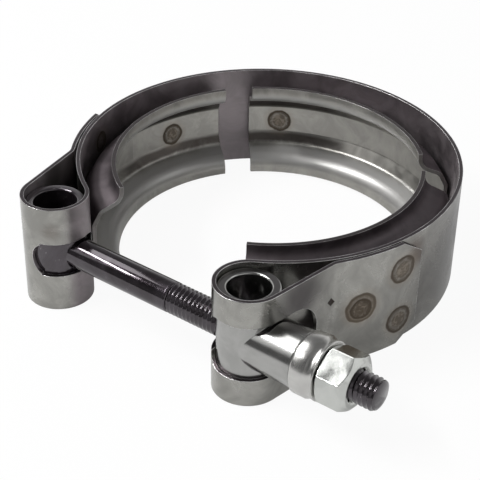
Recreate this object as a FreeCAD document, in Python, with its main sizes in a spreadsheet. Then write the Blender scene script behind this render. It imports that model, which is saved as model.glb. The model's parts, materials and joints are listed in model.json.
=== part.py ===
"""V-band clamp: a spring strap with two folded eyes, three V-section retainers,
a T-bolt, a trunnion, a spacer washer and a hexagon nut.

Frame: origin on the ring axis at mid width, +Z along the ring axis, +X along the bolt
from its head towards the nut. Lengths are in millimetres and angles in degrees.
Angles round the ring are measured from +X. An eye's "lead" is the angle back along the
strap from the direction of that eye's pivot.
"""
import FreeCAD, Part
import os
from math import asin, atan2, cos, degrees, hypot, radians, sin, sqrt, tan

import Sketcher

V = FreeCAD.Vector
TOLERANCE = 1e-3
FULL_TURN = "360"

SIZES = {
    # strap
    "ring_radius": 51.0,
    "strap_thickness": 1.0,
    "strap_width": 30.0,
    "side_arc_lead": 55.0,
    # eyes
    "pivot_spacing": 61.4,
    "eye_retainer_gap": 0.05,
    "eye_radius": 7.7,
    "fold_gap": 0.4,
    "kink_lead": 23.0,
    "kink_radius": 5.0,
    "fold_end_lead": 50.0,
    "fold_corner_along": 4.5,
    "fold_corner_across": 6.5,
    # windows
    "cut_overrun": 2.0,
    "cut_corner": 1.0,
    "bolt_slot_clearance": 0.8,
    "bolt_slot_lip": 1.2,
    "head_slot_back": 0.5,
    "barrel_window_clearance": 0.4,
    "barrel_window_lip": 0.8,
    "barrel_window_corner": 4.6,
    "barrel_window_run": 5.0,
    "leg_window_reach": 6.0,
    "leg_window_depth": 8.0,
    # spot welds
    "weld_radius": 2.6,
    "fold_weld_offset": 7.5,
    "fold_weld_lead": 30.0,
    "fold_weld_pair_lead": 43.0,
    "back_weld_angle": 122.0,
    "bolt_side_weld_angle": 162.0,
    # V-section retainers
    "web_gap": 0.85,
    "retainer_thickness": 1.1,
    "web_half_width": 3.9,
    "shoulder_depth": 1.85,
    "shoulder_half_width": 7.2,
    "groove_depth": 7.75,
    "flank_angle": 22.5,
    "lip_inset": 1.1,
    "lip_bend_radius": 4.3,
    "lip_straight": 0.8,
    "shoulder_bend_radius": 1.5,
    "web_bend_radius": 0.8,
    "nut_side_lead": -3.0,
    "nut_side_span": 91.0,
    "back_start": 42.0,
    "back_span": 91.0,
    "bolt_side_lead": -2.0,
    "bolt_side_span": 96.0,
    # T-bolt
    "eye_clearance": 0.08,
    "head_inset": 2.2,
    "head_bore_radius": 5.4,
    "head_fillet": 0.7,
    "tube_edge_round": 0.6,
    "bolt_radius": 4.0,
    "bolt_end": 6.0,
    "bolt_tip_chamfer": 1.2,
    # trunnion
    "trunnion_inset": 1.4,
    "trunnion_bore_radius": 5.2,
    "barrel_radius": 7.2,
    "barrel_reach": 16.6,
    "barrel_bolt_clearance": 0.5,
    "barrel_edge_round": 0.4,
    # spacer washer
    "seat_gap": 0.15,
    "spacer_bolt_clearance": 0.25,
    "spacer_length": 6.2,
    "spacer_edge_radius": 7.25,
    "spacer_front_land": 3.2,
    "spacer_front_crown": 7.88,
    "spacer_waist": 1.3,
    "spacer_waist_edge": 7.64,
    "spacer_waist_radius": 7.54,
    "spacer_rear_crown": 7.82,
    # hexagon nut
    "nut_thread_clearance": 0.06,
    "nut_across_flats": 13.0,
    "nut_height": 7.9,
    "nut_bore_chamfer": 0.6,
    "nut_turn": 4.0,
    "nut_inner_face_radius": 6.35,
    "nut_inner_chamfer_angle": 30.0,
    "nut_outer_face_radius": 5.5,
    "nut_outer_chamfer_angle": 36.0,
}

doc = FreeCAD.newDocument("v_band_clamp")


# ---------------------------------------------------------------- sizes
def make_sheet():
    """Write every driving size to the spreadsheet, one alias a row."""
    sheet = doc.addObject("Spreadsheet::Sheet", "Sizes")
    for row, (name, value) in enumerate(SIZES.items(), start=1):
        sheet.set(f"A{row}", name)
        sheet.set(f"B{row}", str(value))
        sheet.setAlias(f"B{row}", name)
    doc.recompute()
    return sheet


sizes = make_sheet()


def size(name):
    """The value that the spreadsheet holds for one driving size."""
    return float(sizes.get(name))


def polar(radius, angle, centre=(0.0, 0.0)):
    """Point at a radius and an angle in degrees about a centre."""
    return (centre[0] + radius * cos(radians(angle)), centre[1] + radius * sin(radians(angle)))


# ---------------------------------------------------------------- document helpers
def new_body(label):
    body = doc.addObject("PartDesign::Body", label)
    body.Label = label
    return body


def origin_feature(body, role):
    return next(item for item in body.Origin.OriginFeatures if item.Role == role)


def new_sketch(body, name, plane, offset=None):
    """Sketch on one of the body's origin planes, moved along its normal by an expression."""
    sketch = body.newObject("Sketcher::SketchObject", name)
    sketch.AttachmentSupport = [(origin_feature(body, plane), "")]
    sketch.MapMode = "FlatFace"
    if offset is not None:
        sketch.setExpression("AttachmentOffset.Base.z", offset)
    return sketch


def constrain(sketch, expression, *definition):
    """Add a named driving constraint and tie it to the spreadsheet."""
    index = sketch.addConstraint(Sketcher.Constraint(*definition))
    sketch.setExpression(f"Constraints[{index}]", expression)


def pad(body, name, sketch, length, symmetric=False):
    feature = body.newObject("PartDesign::Pad", name)
    feature.Profile = sketch
    feature.SideType = "Symmetric" if symmetric else "One side"
    feature.setExpression("Length", length)
    doc.recompute()
    return feature


def pocket(body, name, sketch, length, symmetric=False):
    """Cut along the sketch's negative normal, or as far on both of its sides."""
    before = body.Shape.Volume
    feature = body.newObject("PartDesign::Pocket", name)
    feature.Profile = sketch
    feature.SideType = "Symmetric" if symmetric else "One side"
    feature.setExpression("Length", length)
    doc.recompute()
    if body.Shape.Volume >= before:
        raise RuntimeError(f"{name} cuts nothing")
    return feature


def revolve(body, name, sketch, axis, angle=FULL_TURN):
    feature = body.newObject("PartDesign::Revolution", name)
    feature.Profile = sketch
    feature.ReferenceAxis = (sketch, [axis])
    feature.setExpression("Angle", angle)
    doc.recompute()
    return feature


def groove(body, name, sketch, axis):
    before = body.Shape.Volume
    feature = body.newObject("PartDesign::Groove", name)
    feature.Profile = sketch
    feature.ReferenceAxis = (sketch, [axis])
    feature.setExpression("Angle", FULL_TURN)
    doc.recompute()
    if body.Shape.Volume >= before:
        raise RuntimeError(f"{name} cuts nothing")
    return feature


def edges_where(body, test):
    """Names of the body's edges that pass a test."""
    edges = body.Tip.Shape.Edges
    return [f"Edge{index}" for index, edge in enumerate(edges, start=1) if test(edge)]


def fillet(body, name, edge_names, radius):
    base = body.Tip
    feature = body.newObject("PartDesign::Fillet", name)
    feature.Base = (base, edge_names)
    feature.setExpression("Radius", radius)
    doc.recompute()
    return feature


def chamfer(body, name, edge_names, first, second=None):
    """Chamfer with one size, or with a size for each of the two faces."""
    base = body.Tip
    feature = body.newObject("PartDesign::Chamfer", name)
    feature.Base = (base, edge_names)
    feature.setExpression("Size", first)
    if second is not None:
        feature.ChamferType = "Two distances"
        feature.setExpression("Size2", second)
    doc.recompute()
    return feature


def is_circle_at(edge, radius, axis, along):
    """True for a circular edge of one radius whose centre lies at a place along an axis."""
    curve = edge.Curve
    if curve.TypeId != "Part::GeomCircle":
        return False
    return (abs(curve.Radius - radius) < TOLERANCE
            and abs(curve.Center.dot(axis) - along) < TOLERANCE)


# ---------------------------------------------------------------- sketch outlines
def line(start, end):
    return {"kind": "line", "start": start, "end": end}


def arc(centre, radius, start_angle, end_angle):
    """Arc travelled from one angle to the other: rising angles turn left."""
    return {"kind": "arc", "centre": centre, "radius": radius,
            "from": start_angle, "to": end_angle, "left": end_angle > start_angle}


def point_of(segment, at_end):
    if segment["kind"] == "line":
        return segment["end"] if at_end else segment["start"]
    angle = segment["to"] if at_end else segment["from"]
    return polar(segment["radius"], angle, segment["centre"])


def shifted(segment, distance):
    """The same segment moved to the right of its travel."""
    if segment["kind"] == "arc":
        change = distance if segment["left"] else -distance
        return {**segment, "radius": segment["radius"] + change}
    (x0, y0), (x1, y1) = segment["start"], segment["end"]
    length = hypot(x1 - x0, y1 - y0)
    side = ((y1 - y0) / length * distance, (x0 - x1) / length * distance)
    return line((x0 + side[0], y0 + side[1]), (x1 + side[0], y1 + side[1]))


def bent_path(points, radii):
    """Straight runs between points, with a tangent arc of the given radius at each inner point."""
    segments = []
    run_start = points[0]
    for before, corner, after, radius in zip(points, points[1:], points[2:], radii):
        heading_in = atan2(corner[1] - before[1], corner[0] - before[0])
        heading_out = atan2(after[1] - corner[1], after[0] - corner[0])
        turn = heading_out - heading_in
        setback = radius * tan(abs(turn) / 2)
        run_end = (corner[0] - setback * cos(heading_in), corner[1] - setback * sin(heading_in))
        side = 1 if turn > 0 else -1
        centre = polar(radius, degrees(heading_in) + side * 90, run_end)
        first = degrees(heading_in) - side * 90
        segments.append(line(run_start, run_end))
        segments.append(arc(centre, radius, first, first + degrees(turn)))
        run_start = point_of(segments[-1], True)
    segments.append(line(run_start, points[-1]))
    return segments


def draw(sketch, segment):
    """Add one segment. Returns its number and its first and last vertex numbers."""
    if segment["kind"] == "line":
        (x0, y0), (x1, y1) = segment["start"], segment["end"]
        return sketch.addGeometry(Part.LineSegment(V(x0, y0, 0), V(x1, y1, 0))), 1, 2
    circle = Part.Circle(V(*segment["centre"], 0), V(0, 0, 1), segment["radius"])
    low, high = sorted((radians(segment["from"]), radians(segment["to"])))
    number = sketch.addGeometry(Part.ArcOfCircle(circle, low, high))
    return (number, 1, 2) if segment["left"] else (number, 2, 1)


def draw_chain(sketch, segments):
    """Draw segments in a row, each tangent to the last."""
    chain = [draw(sketch, segment) for segment in segments]
    for (first, _, end), (second, start, _) in zip(chain, chain[1:]):
        sketch.addConstraint(Sketcher.Constraint("Tangent", first, end, second, start))
    return chain


def draw_sheet_outline(sketch, segments, thickness_name):
    """Closed outline of bent sheet: its face along the path, and its other face to the right."""
    face = draw_chain(sketch, segments)
    back = draw_chain(sketch, [shifted(segment, size(thickness_name)) for segment in segments])
    for (near, _, _), (far, _, _), segment in zip(face, back, segments):
        if segment["kind"] == "arc":
            sketch.addConstraint(Sketcher.Constraint("Coincident", near, 3, far, 3))
    for at_end in (False, True):
        pick = -1 if at_end else 0
        near, near_vertex = face[pick][0], face[pick][2 if at_end else 1]
        far, far_vertex = back[pick][0], back[pick][2 if at_end else 1]
        near_point = point_of(segments[pick], at_end)
        far_point = point_of(shifted(segments[pick], size(thickness_name)), at_end)
        cap, _, _ = draw(sketch, line(near_point, far_point))
        sketch.addConstraint(Sketcher.Constraint("Coincident", cap, 1, near, near_vertex))
        sketch.addConstraint(Sketcher.Constraint("Coincident", cap, 2, far, far_vertex))
        if not at_end:
            constrain(sketch, f"Sizes.{thickness_name}", "Distance", cap, size(thickness_name))
    return face


def draw_polygon(sketch, points):
    """Closed outline of straight lines."""
    ends = points[1:] + points[:1]
    numbers = [draw(sketch, line(start, end))[0] for start, end in zip(points, ends)]
    for first, second in zip(numbers, numbers[1:] + numbers[:1]):
        sketch.addConstraint(Sketcher.Constraint("Coincident", first, 2, second, 1))
    return numbers


def draw_circle(sketch, expression, radius):
    """Circle about the sketch origin."""
    number = sketch.addGeometry(Part.Circle(V(0, 0, 0), V(0, 0, 1), radius))
    sketch.addConstraint(Sketcher.Constraint("Coincident", number, 3, -1, 1))
    constrain(sketch, expression, "Radius", number, radius)


# ---------------------------------------------------------------- band
# each eye hangs outside the ring, as near as the retainer under it allows
HALF_SPACING = "Sizes.pivot_spacing / 2"
PIVOT_REACH = "Sizes.ring_radius + Sizes.eye_radius - Sizes.web_gap + Sizes.eye_retainer_gap"
PIVOT_DEPTH = f"sqrt(({PIVOT_REACH}) ^ 2 - ({HALF_SPACING}) ^ 2)"
EYE_OUTSIDE = "Sizes.eye_radius + Sizes.strap_thickness"
PIVOT_X = size("pivot_spacing") / 2
PIVOT_Y = -sqrt((size("ring_radius") + size("eye_radius") - size("web_gap")
                 + size("eye_retainer_gap")) ** 2 - PIVOT_X ** 2)
PIVOT_ANGLE = degrees(atan2(PIVOT_Y, PIVOT_X))


def strap_path():
    """Half of the strap along its outer face: from the back, round the ring, round the eye,
    and back over itself to the end of the fold."""
    ring, eye = size("ring_radius"), size("eye_radius")
    pivot = (PIVOT_X, PIVOT_Y)
    reach = hypot(*pivot)
    # the side arc leaves the ring at its lead and touches the eye from inside the ring
    lead = size("side_arc_lead")
    shift = ((ring + eye) ** 2 - reach ** 2) / (2 * (ring + eye) - 2 * reach * cos(radians(lead)))
    side_centre = polar(shift, PIVOT_ANGLE + lead)
    touch = degrees(atan2(pivot[1] - side_centre[1], pivot[0] - side_centre[0]))
    # the leg is the inner tangent of the eye and of the kink, which touches the fold
    fold = ring + size("fold_gap")
    kink = size("kink_radius")
    kink_angle = PIVOT_ANGLE + size("kink_lead")
    kink_centre = polar(fold + kink, kink_angle)
    across = (kink_centre[0] - pivot[0], kink_centre[1] - pivot[1])
    heading = degrees(atan2(across[1], across[0]) + asin((eye + kink) / hypot(*across)))
    return [
        arc((0, 0), ring, 90, PIVOT_ANGLE + lead),
        arc(side_centre, ring - shift, PIVOT_ANGLE + lead, touch),
        arc(pivot, eye, touch + 180, heading + 270),
        line(polar(eye, heading - 90, pivot), polar(kink, heading + 90, kink_centre)),
        arc(kink_centre, kink, heading + 90, kink_angle + 180),
        arc((0, 0), fold, kink_angle, PIVOT_ANGLE + size("fold_end_lead")),
    ]


def draw_strap(sketch):
    face = draw_sheet_outline(sketch, strap_path(), "strap_thickness")
    ring, _, eye, _, kink, fold = (number for number, _, _ in face)
    for number in (ring, fold):
        sketch.addConstraint(Sketcher.Constraint("Coincident", number, 3, -1, 1))
    constrain(sketch, "Sizes.ring_radius", "Radius", ring, size("ring_radius"))
    constrain(sketch, "Sizes.ring_radius + Sizes.fold_gap", "Radius", fold,
              size("ring_radius") + size("fold_gap"))
    constrain(sketch, "Sizes.eye_radius", "Radius", eye, size("eye_radius"))
    constrain(sketch, "Sizes.kink_radius", "Radius", kink, size("kink_radius"))
    constrain(sketch, HALF_SPACING, "DistanceX", -1, 1, eye, 3, PIVOT_X)
    constrain(sketch, PIVOT_DEPTH, "DistanceY", eye, 3, -1, 1, -PIVOT_Y)


def window_outline(low, high, half_width, low_round, high_round):
    """Window between two places along a strap, with its corners rounded at each end."""
    corners = [((low, half_width), low_round), ((low, -half_width), low_round),
               ((high, -half_width), high_round), ((high, half_width), high_round)]
    segments = []
    for (corner, radius), (after, after_radius) in zip(corners, corners[1:] + corners[:1]):
        heading = degrees(atan2(after[1] - corner[1], after[0] - corner[0]))
        start = polar(radius, heading, corner)
        end = polar(after_radius, heading + 180, after)
        centre = polar(radius, heading + 90, start)
        segments.append(arc(centre, radius, heading + 180, heading + 270))
        if hypot(end[0] - start[0], end[1] - start[1]) > TOLERANCE:
            segments.append(line(start, end))
    return segments


def cut_window(body, name, plane, outline, offset, depth):
    """Cut a window of the given outline. The sketch plane lies beyond the strap."""
    sketch = new_sketch(body, name + "_outline", plane, offset)
    chain = draw_chain(sketch, outline)
    sketch.addConstraint(Sketcher.Constraint("Tangent", chain[-1][0], chain[-1][2],
                                             chain[0][0], chain[0][1]))
    pocket(body, name, sketch, depth)


def cut_windows(body):
    """Windows of the two eyes, each cut from the front and from the side, as the eye turns."""
    eye = size("eye_radius") + size("strap_thickness")
    past = eye + size("cut_overrun")
    corner = size("cut_corner")
    slot = size("bolt_radius") + size("bolt_slot_clearance")
    barrel = size("barrel_radius") + size("barrel_window_clearance")
    slot_rise = size("eye_radius") - size("bolt_slot_lip")
    barrel_back = size("eye_radius") - size("barrel_window_lip")
    barrel_rise = size("eye_radius") + size("barrel_window_run")
    front = f"{PIVOT_DEPTH} + {EYE_OUTSIDE} + Sizes.cut_overrun"
    front_depth = f"{EYE_OUTSIDE} + Sizes.cut_overrun"
    # eye of the T-bolt: a slot from its front round to the bolt
    cut_window(body, "head_slot_front", "XZ_Plane",
               window_outline(-PIVOT_X - size("head_slot_back"), -PIVOT_X + past, slot, slot, corner),
               front, front_depth)
    cut_window(body, "head_slot_side", "YZ_Plane",
               window_outline(PIVOT_Y - past, PIVOT_Y + slot_rise, slot, corner, slot),
               f"-{HALF_SPACING} + {EYE_OUTSIDE} + Sizes.cut_overrun", EYE_OUTSIDE)
    # eye of the trunnion: a slot for the bolt, and a wide window for the barrel
    cut_window(body, "bolt_slot", "YZ_Plane",
               window_outline(PIVOT_Y - slot_rise, PIVOT_Y + slot_rise, slot, corner, slot),
               f"{HALF_SPACING} - Sizes.cut_overrun", EYE_OUTSIDE)
    cut_window(body, "barrel_window_front", "XZ_Plane",
               window_outline(PIVOT_X - barrel_back, PIVOT_X + past, barrel,
                              size("barrel_window_corner"), corner),
               front, front_depth)
    cut_window(body, "barrel_window_side", "YZ_Plane",
               window_outline(PIVOT_Y - past, PIVOT_Y + barrel_rise, barrel, corner, barrel),
               f"{HALF_SPACING} + Sizes.eye_radius + Sizes.leg_window_reach",
               "Sizes.leg_window_depth")


def clip_fold_corners(body):
    """Cut the corners of both folded ends on the slant."""
    half_width = size("strap_width") / 2
    end_low = size("ring_radius") + size("fold_gap")
    end_high = end_low + size("strap_thickness")
    end_angle = PIVOT_ANGLE + size("fold_end_lead")

    def is_corner(edge):
        middle = edge.CenterOfMass
        radius = hypot(middle.x, middle.y)
        angle = degrees(atan2(middle.y, abs(middle.x)))
        across_sheet = edge.Length < size("strap_thickness") + TOLERANCE
        return (across_sheet and abs(abs(middle.z) - half_width) < TOLERANCE
                and end_low < radius < end_high and abs(angle - end_angle) < 1)

    chamfer(body, "clipped_corners", edges_where(body, is_corner),
            "Sizes.fold_corner_along", "Sizes.fold_corner_across")


def add_weld(body, name, angle, height, start, length):
    """Weld nugget: a short round bridge between two layers, along a radius of the ring."""
    nugget = body.newObject("PartDesign::AdditiveCylinder", name)
    nugget.setExpression("Radius", "Sizes.weld_radius")
    nugget.setExpression("Height", length)
    turn = FreeCAD.Rotation(V(0, 0, 1), angle) * FreeCAD.Rotation(V(0, 1, 0), 90)
    nugget.Placement = FreeCAD.Placement(V(*polar(start, angle), height), turn)
    doc.recompute()


def add_welds(body):
    """Three nuggets hold each folded end, and one or two hold each retainer."""
    mid_strap = size("ring_radius") - size("strap_thickness") / 2
    offset = size("fold_weld_offset")
    single, pair = PIVOT_ANGLE + size("fold_weld_lead"), PIVOT_ANGLE + size("fold_weld_pair_lead")
    for side in ("nut", "bolt"):
        for number, (angle, height) in enumerate(((single, 0), (pair, offset), (pair, -offset))):
            add_weld(body, f"{side}_side_fold_weld_{number}", angle if side == "nut" else 180 - angle,
                     height, mid_strap, "Sizes.fold_gap + Sizes.strap_thickness")
    web = size("ring_radius") - size("strap_thickness") - size("web_gap")
    web_angles = (single, size("back_weld_angle"), size("bolt_side_weld_angle"), 180 - single)
    for number, angle in enumerate(web_angles):
        add_weld(body, f"web_weld_{number}", angle, 0, web,
                 "Sizes.web_gap + Sizes.strap_thickness / 2")


def make_band():
    body = new_body("band")
    sketch = new_sketch(body, "strap_edge", "XY_Plane")
    draw_strap(sketch)
    half = pad(body, "half_strap", sketch, "Sizes.strap_width", symmetric=True)
    mirror = body.newObject("PartDesign::Mirrored", "whole_strap")
    mirror.Originals = [half]
    mirror.MirrorPlane = (origin_feature(body, "YZ_Plane"), [""])
    body.Tip = mirror
    doc.recompute()
    cut_windows(body)
    clip_fold_corners(body)
    add_welds(body)
    return body


# ---------------------------------------------------------------- retainers
def retainer_path():
    """Groove face of the V section, from the lower lip to the upper one: (radius, height)."""
    web = (size("ring_radius") - size("strap_thickness") - size("web_gap")
           - size("retainer_thickness"))
    lip = web - size("groove_depth")
    shoulder = web - size("shoulder_depth")
    flank = size("shoulder_half_width") + (shoulder - lip) * tan(radians(size("flank_angle")))
    lip_end = size("strap_width") / 2 - size("lip_inset")
    upper = [
        (web, size("web_half_width")),
        (shoulder, size("shoulder_half_width")),
        (lip, flank),
        (lip, lip_end),
    ]
    lower = [(radius, -height) for radius, height in reversed(upper)]
    # a narrow strap leaves less lip for the bend to run into
    half_turn = tan(radians(90 - size("flank_angle")) / 2)
    widest_bend = (lip_end - flank - size("lip_straight")) / half_turn
    lip_bend = min(size("lip_bend_radius"), widest_bend)
    bends = [size("web_bend_radius"), size("shoulder_bend_radius"), lip_bend]
    return bent_path(lower + upper, bends[::-1] + bends)


def make_retainer(label, start, span):
    """One retainer: its V section turned about the ring axis through its own span."""
    body = new_body(label)
    sketch = new_sketch(body, "v_section", "XZ_Plane")
    path = retainer_path()
    face = draw_sheet_outline(sketch, path, "retainer_thickness")
    lip_radius, lip_height = point_of(path[-1], True)
    reach = ("Sizes.ring_radius - Sizes.strap_thickness - Sizes.web_gap - Sizes.retainer_thickness"
             " - Sizes.groove_depth")
    rise = "Sizes.strap_width / 2 - Sizes.lip_inset"
    lower_lip, upper_lip = face[0][0], face[-1][0]
    constrain(sketch, reach, "DistanceX", -1, 1, lower_lip, 1, lip_radius)
    constrain(sketch, rise, "DistanceY", lower_lip, 1, -1, 1, lip_height)
    constrain(sketch, reach, "DistanceX", -1, 1, upper_lip, 2, lip_radius)
    constrain(sketch, rise, "DistanceY", -1, 1, upper_lip, 2, lip_height)
    revolve(body, "v_segment", sketch, "V_Axis", f"Sizes.{span} * 1deg")
    body.Placement.Rotation = FreeCAD.Rotation(V(0, 0, 1), start)
    return body


def make_retainers():
    """Three retainers, spread so that two of them end beside the eyes."""
    return [
        make_retainer("retainer_nut_side", PIVOT_ANGLE + size("nut_side_lead"), "nut_side_span"),
        make_retainer("retainer_back", size("back_start"), "back_span"),
        make_retainer("retainer_bolt_side",
                      180 - PIVOT_ANGLE - size("bolt_side_lead") - size("bolt_side_span"),
                      "bolt_side_span"),
    ]


# ---------------------------------------------------------------- T-bolt
def tube_rim_edges(body, radii, half_length):
    """Both rims of an upright tube, inside and outside."""
    def is_rim(edge):
        return any(is_circle_at(edge, radius, V(0, 0, 1), at)
                   for radius in radii for at in (-half_length, half_length))
    return edges_where(body, is_rim)


def cross_tube(body, name, inset):
    """Upright tube that turns in an eye. Returns its outside radius and half its length."""
    sketch = new_sketch(body, name + "_section", "XY_Plane")
    radius = size("eye_radius") - size("eye_clearance")
    draw_circle(sketch, "Sizes.eye_radius - Sizes.eye_clearance", radius)
    pad(body, name, sketch, f"Sizes.strap_width - 2 * Sizes.{inset}", symmetric=True)
    return radius, size("strap_width") / 2 - size(inset)


def bore_tube(body, name, radius_name, outside, half_length):
    """Bore an upright tube through and round its rims."""
    sketch = new_sketch(body, name + "_section", "XY_Plane")
    radius = size(radius_name)
    draw_circle(sketch, f"Sizes.{radius_name}", radius)
    pocket(body, name, sketch, "Sizes.strap_width", symmetric=True)
    fillet(body, name + "_rims", tube_rim_edges(body, (outside, radius), half_length),
           "Sizes.tube_edge_round")


def make_t_bolt():
    """Hollow cross head, shank and thread in one piece, about its own pivot."""
    body = new_body("t_bolt")
    outside, half_length = cross_tube(body, "head", "head_inset")
    shank = new_sketch(body, "shank_section", "YZ_Plane")
    draw_circle(shank, "Sizes.bolt_radius", size("bolt_radius"))
    pad(body, "shank", shank, "Sizes.pivot_spacing + Sizes.barrel_reach + Sizes.spacer_length"
                              " + Sizes.nut_height + 2 * Sizes.seat_gap + Sizes.bolt_end")

    def is_root(edge):
        plain = edge.Curve.TypeId in ("Part::GeomLine", "Part::GeomCircle")
        return not plain and 0 < edge.CenterOfMass.x <= outside

    fillet(body, "head_root", edges_where(body, is_root), "Sizes.head_fillet")
    bore_tube(body, "head_bore", "head_bore_radius", outside, half_length)
    tip = body.Tip.Shape.BoundBox.XMax
    rim = edges_where(body, lambda edge: is_circle_at(edge, size("bolt_radius"), V(1, 0, 0), tip))
    chamfer(body, "tip_chamfer", rim, "Sizes.bolt_tip_chamfer")
    place(body, f"-{HALF_SPACING}")
    return body


def place(body, along):
    """Put a piece that was made about its own centre on the bolt line."""
    body.setExpression("Placement.Base.x", along)
    body.setExpression("Placement.Base.y", f"-{PIVOT_DEPTH}")


# ---------------------------------------------------------------- trunnion
def make_trunnion():
    """Hollow cross tube and barrel in one piece, about its own pivot."""
    body = new_body("trunnion")
    outside, half_length = cross_tube(body, "tube", "trunnion_inset")
    barrel = new_sketch(body, "barrel_section", "YZ_Plane")
    draw_circle(barrel, "Sizes.barrel_radius", size("barrel_radius"))
    pad(body, "barrel", barrel, "Sizes.barrel_reach")
    bore_tube(body, "tube_bore", "trunnion_bore_radius", outside, half_length)
    cross = new_sketch(body, "bolt_bore_section", "YZ_Plane")
    draw_circle(cross, "Sizes.bolt_radius + Sizes.barrel_bolt_clearance",
                size("bolt_radius") + size("barrel_bolt_clearance"))
    pocket(body, "bolt_bore", cross, "2 * (Sizes.barrel_reach + Sizes.eye_radius)", symmetric=True)
    ends = edges_where(body, lambda edge: is_circle_at(
        edge, size("barrel_radius"), V(1, 0, 0), size("barrel_reach")))
    fillet(body, "barrel_rim", ends, "Sizes.barrel_edge_round")
    place(body, HALF_SPACING)
    return body


# ---------------------------------------------------------------- spacer washer
def make_spacer():
    """Turned collar with two crowned lands and a shallow waist, from its barrel end."""
    body = new_body("spacer_washer")
    length, bore = size("spacer_length"), size("bolt_radius") + size("spacer_bolt_clearance")
    front, waist = size("spacer_front_land"), size("spacer_waist")
    rear = length - front - waist
    edge, waist_edge = size("spacer_edge_radius"), size("spacer_waist_edge")
    stations = (
        (0, edge),
        (front / 2, size("spacer_front_crown")),
        (front, waist_edge),
        (front + waist / 2, size("spacer_waist_radius")),
        (front + waist, waist_edge),
        (length - rear / 2, size("spacer_rear_crown")),
        (length, edge),
    )
    sketch = new_sketch(body, "collar_section", "XZ_Plane")
    for start, middle, end in zip(stations[::2], stations[1::2], stations[2::2]):
        sketch.addGeometry(Part.Arc(V(*start, 0), V(*middle, 0), V(*end, 0)))
    right, _, _ = draw(sketch, line((length, edge), (length, bore)))
    low, _, _ = draw(sketch, line((length, bore), (0, bore)))
    left, _, _ = draw(sketch, line((0, bore), (0, edge)))
    for first, second in ((right, low), (low, left)):
        sketch.addConstraint(Sketcher.Constraint("Coincident", first, 2, second, 1))
    sketch.addConstraint(Sketcher.Constraint("Horizontal", low))
    sketch.addConstraint(Sketcher.Constraint("PointOnObject", low, 2, -2))
    constrain(sketch, "Sizes.spacer_length", "DistanceX", low, 2, low, 1, length)
    constrain(sketch, "Sizes.bolt_radius + Sizes.spacer_bolt_clearance", "DistanceY",
              -1, 1, low, 2, bore)
    revolve(body, "collar", sketch, "H_Axis")
    place(body, f"{HALF_SPACING} + Sizes.barrel_reach + Sizes.seat_gap")
    return body


# ---------------------------------------------------------------- nut
def chamfer_nut(body, name, face, inward, face_radius, angle):
    """Turn a cone over the corners of the hexagon, from a circle on one face."""
    outside = size("nut_across_flats")
    sketch = new_sketch(body, name + "_section", "XZ_Plane")
    draw_polygon(sketch, [(face, face_radius), (face, outside),
                          (face + inward * (outside - face_radius) * tan(radians(angle)), outside)])
    groove(body, name, sketch, "H_Axis")


def make_nut():
    """Hexagon nut with both faces chamfered, from its inner face."""
    body = new_body("hex_nut")
    half_flats, height = size("nut_across_flats") / 2, size("nut_height")
    bore = size("bolt_radius") + size("nut_thread_clearance")
    corner = half_flats / cos(radians(30))
    hexagon = new_sketch(body, "hexagon", "YZ_Plane")
    turn = 90 + size("nut_turn")
    sides = draw_polygon(hexagon, [polar(corner, turn + 60 * step) for step in range(6)])
    ring = hexagon.addGeometry(Part.Circle(V(0, 0, 0), V(0, 0, 1), half_flats), True)
    hexagon.addConstraint(Sketcher.Constraint("Coincident", ring, 3, -1, 1))
    for side in sides:
        hexagon.addConstraint(Sketcher.Constraint("Tangent", side, ring))
    constrain(hexagon, "Sizes.nut_across_flats / 2", "Radius", ring, half_flats)
    pad(body, "hexagon_bar", hexagon, "Sizes.nut_height")
    chamfer_nut(body, "inner_chamfer", 0, 1, size("nut_inner_face_radius"),
                size("nut_inner_chamfer_angle"))
    chamfer_nut(body, "outer_chamfer", height, -1, size("nut_outer_face_radius"),
                size("nut_outer_chamfer_angle"))
    hole = new_sketch(body, "bore_section", "YZ_Plane")
    draw_circle(hole, "Sizes.bolt_radius + Sizes.nut_thread_clearance", bore)
    pocket(body, "bore", hole, "2 * Sizes.nut_height", symmetric=True)
    mouths = edges_where(body, lambda edge: any(
        is_circle_at(edge, bore, V(1, 0, 0), at) for at in (0, height)))
    chamfer(body, "bore_mouths", mouths, "Sizes.nut_bore_chamfer")
    place(body, f"{HALF_SPACING} + Sizes.barrel_reach + Sizes.spacer_length + 2 * Sizes.seat_gap")
    return body


# ---------------------------------------------------------------- build and write
def check(parts):
    """Stop on any failed feature or bad solid before anything is written."""
    for item in doc.Objects:
        if "Invalid" in item.State or "Error" in item.State:
            raise RuntimeError(f"{item.Name} failed: {item.State}")
    for part in parts:
        if part.Shape.isNull() or not part.Shape.isValid() or len(part.Shape.Solids) != 1:
            raise RuntimeError(f"{part.Label} is not one valid solid")


def main():
    parts = [
        make_band(),
        *make_retainers(),
        make_t_bolt(),
        make_trunnion(),
        make_spacer(),
        make_nut(),
    ]
    doc.recompute()
    check(parts)
    os.makedirs("parts", exist_ok=True)
    for part in parts:
        part.Shape.exportStep(f"parts/{part.Label}.step")


main()
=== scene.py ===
"""Looks of the V-band clamp: the bolt's thread, the turned washer, finishes, light and camera."""

import json
from math import atan2, cos, degrees, pi, radians, sin

import bpy
from mathutils import Euler, Matrix, Vector


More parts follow.
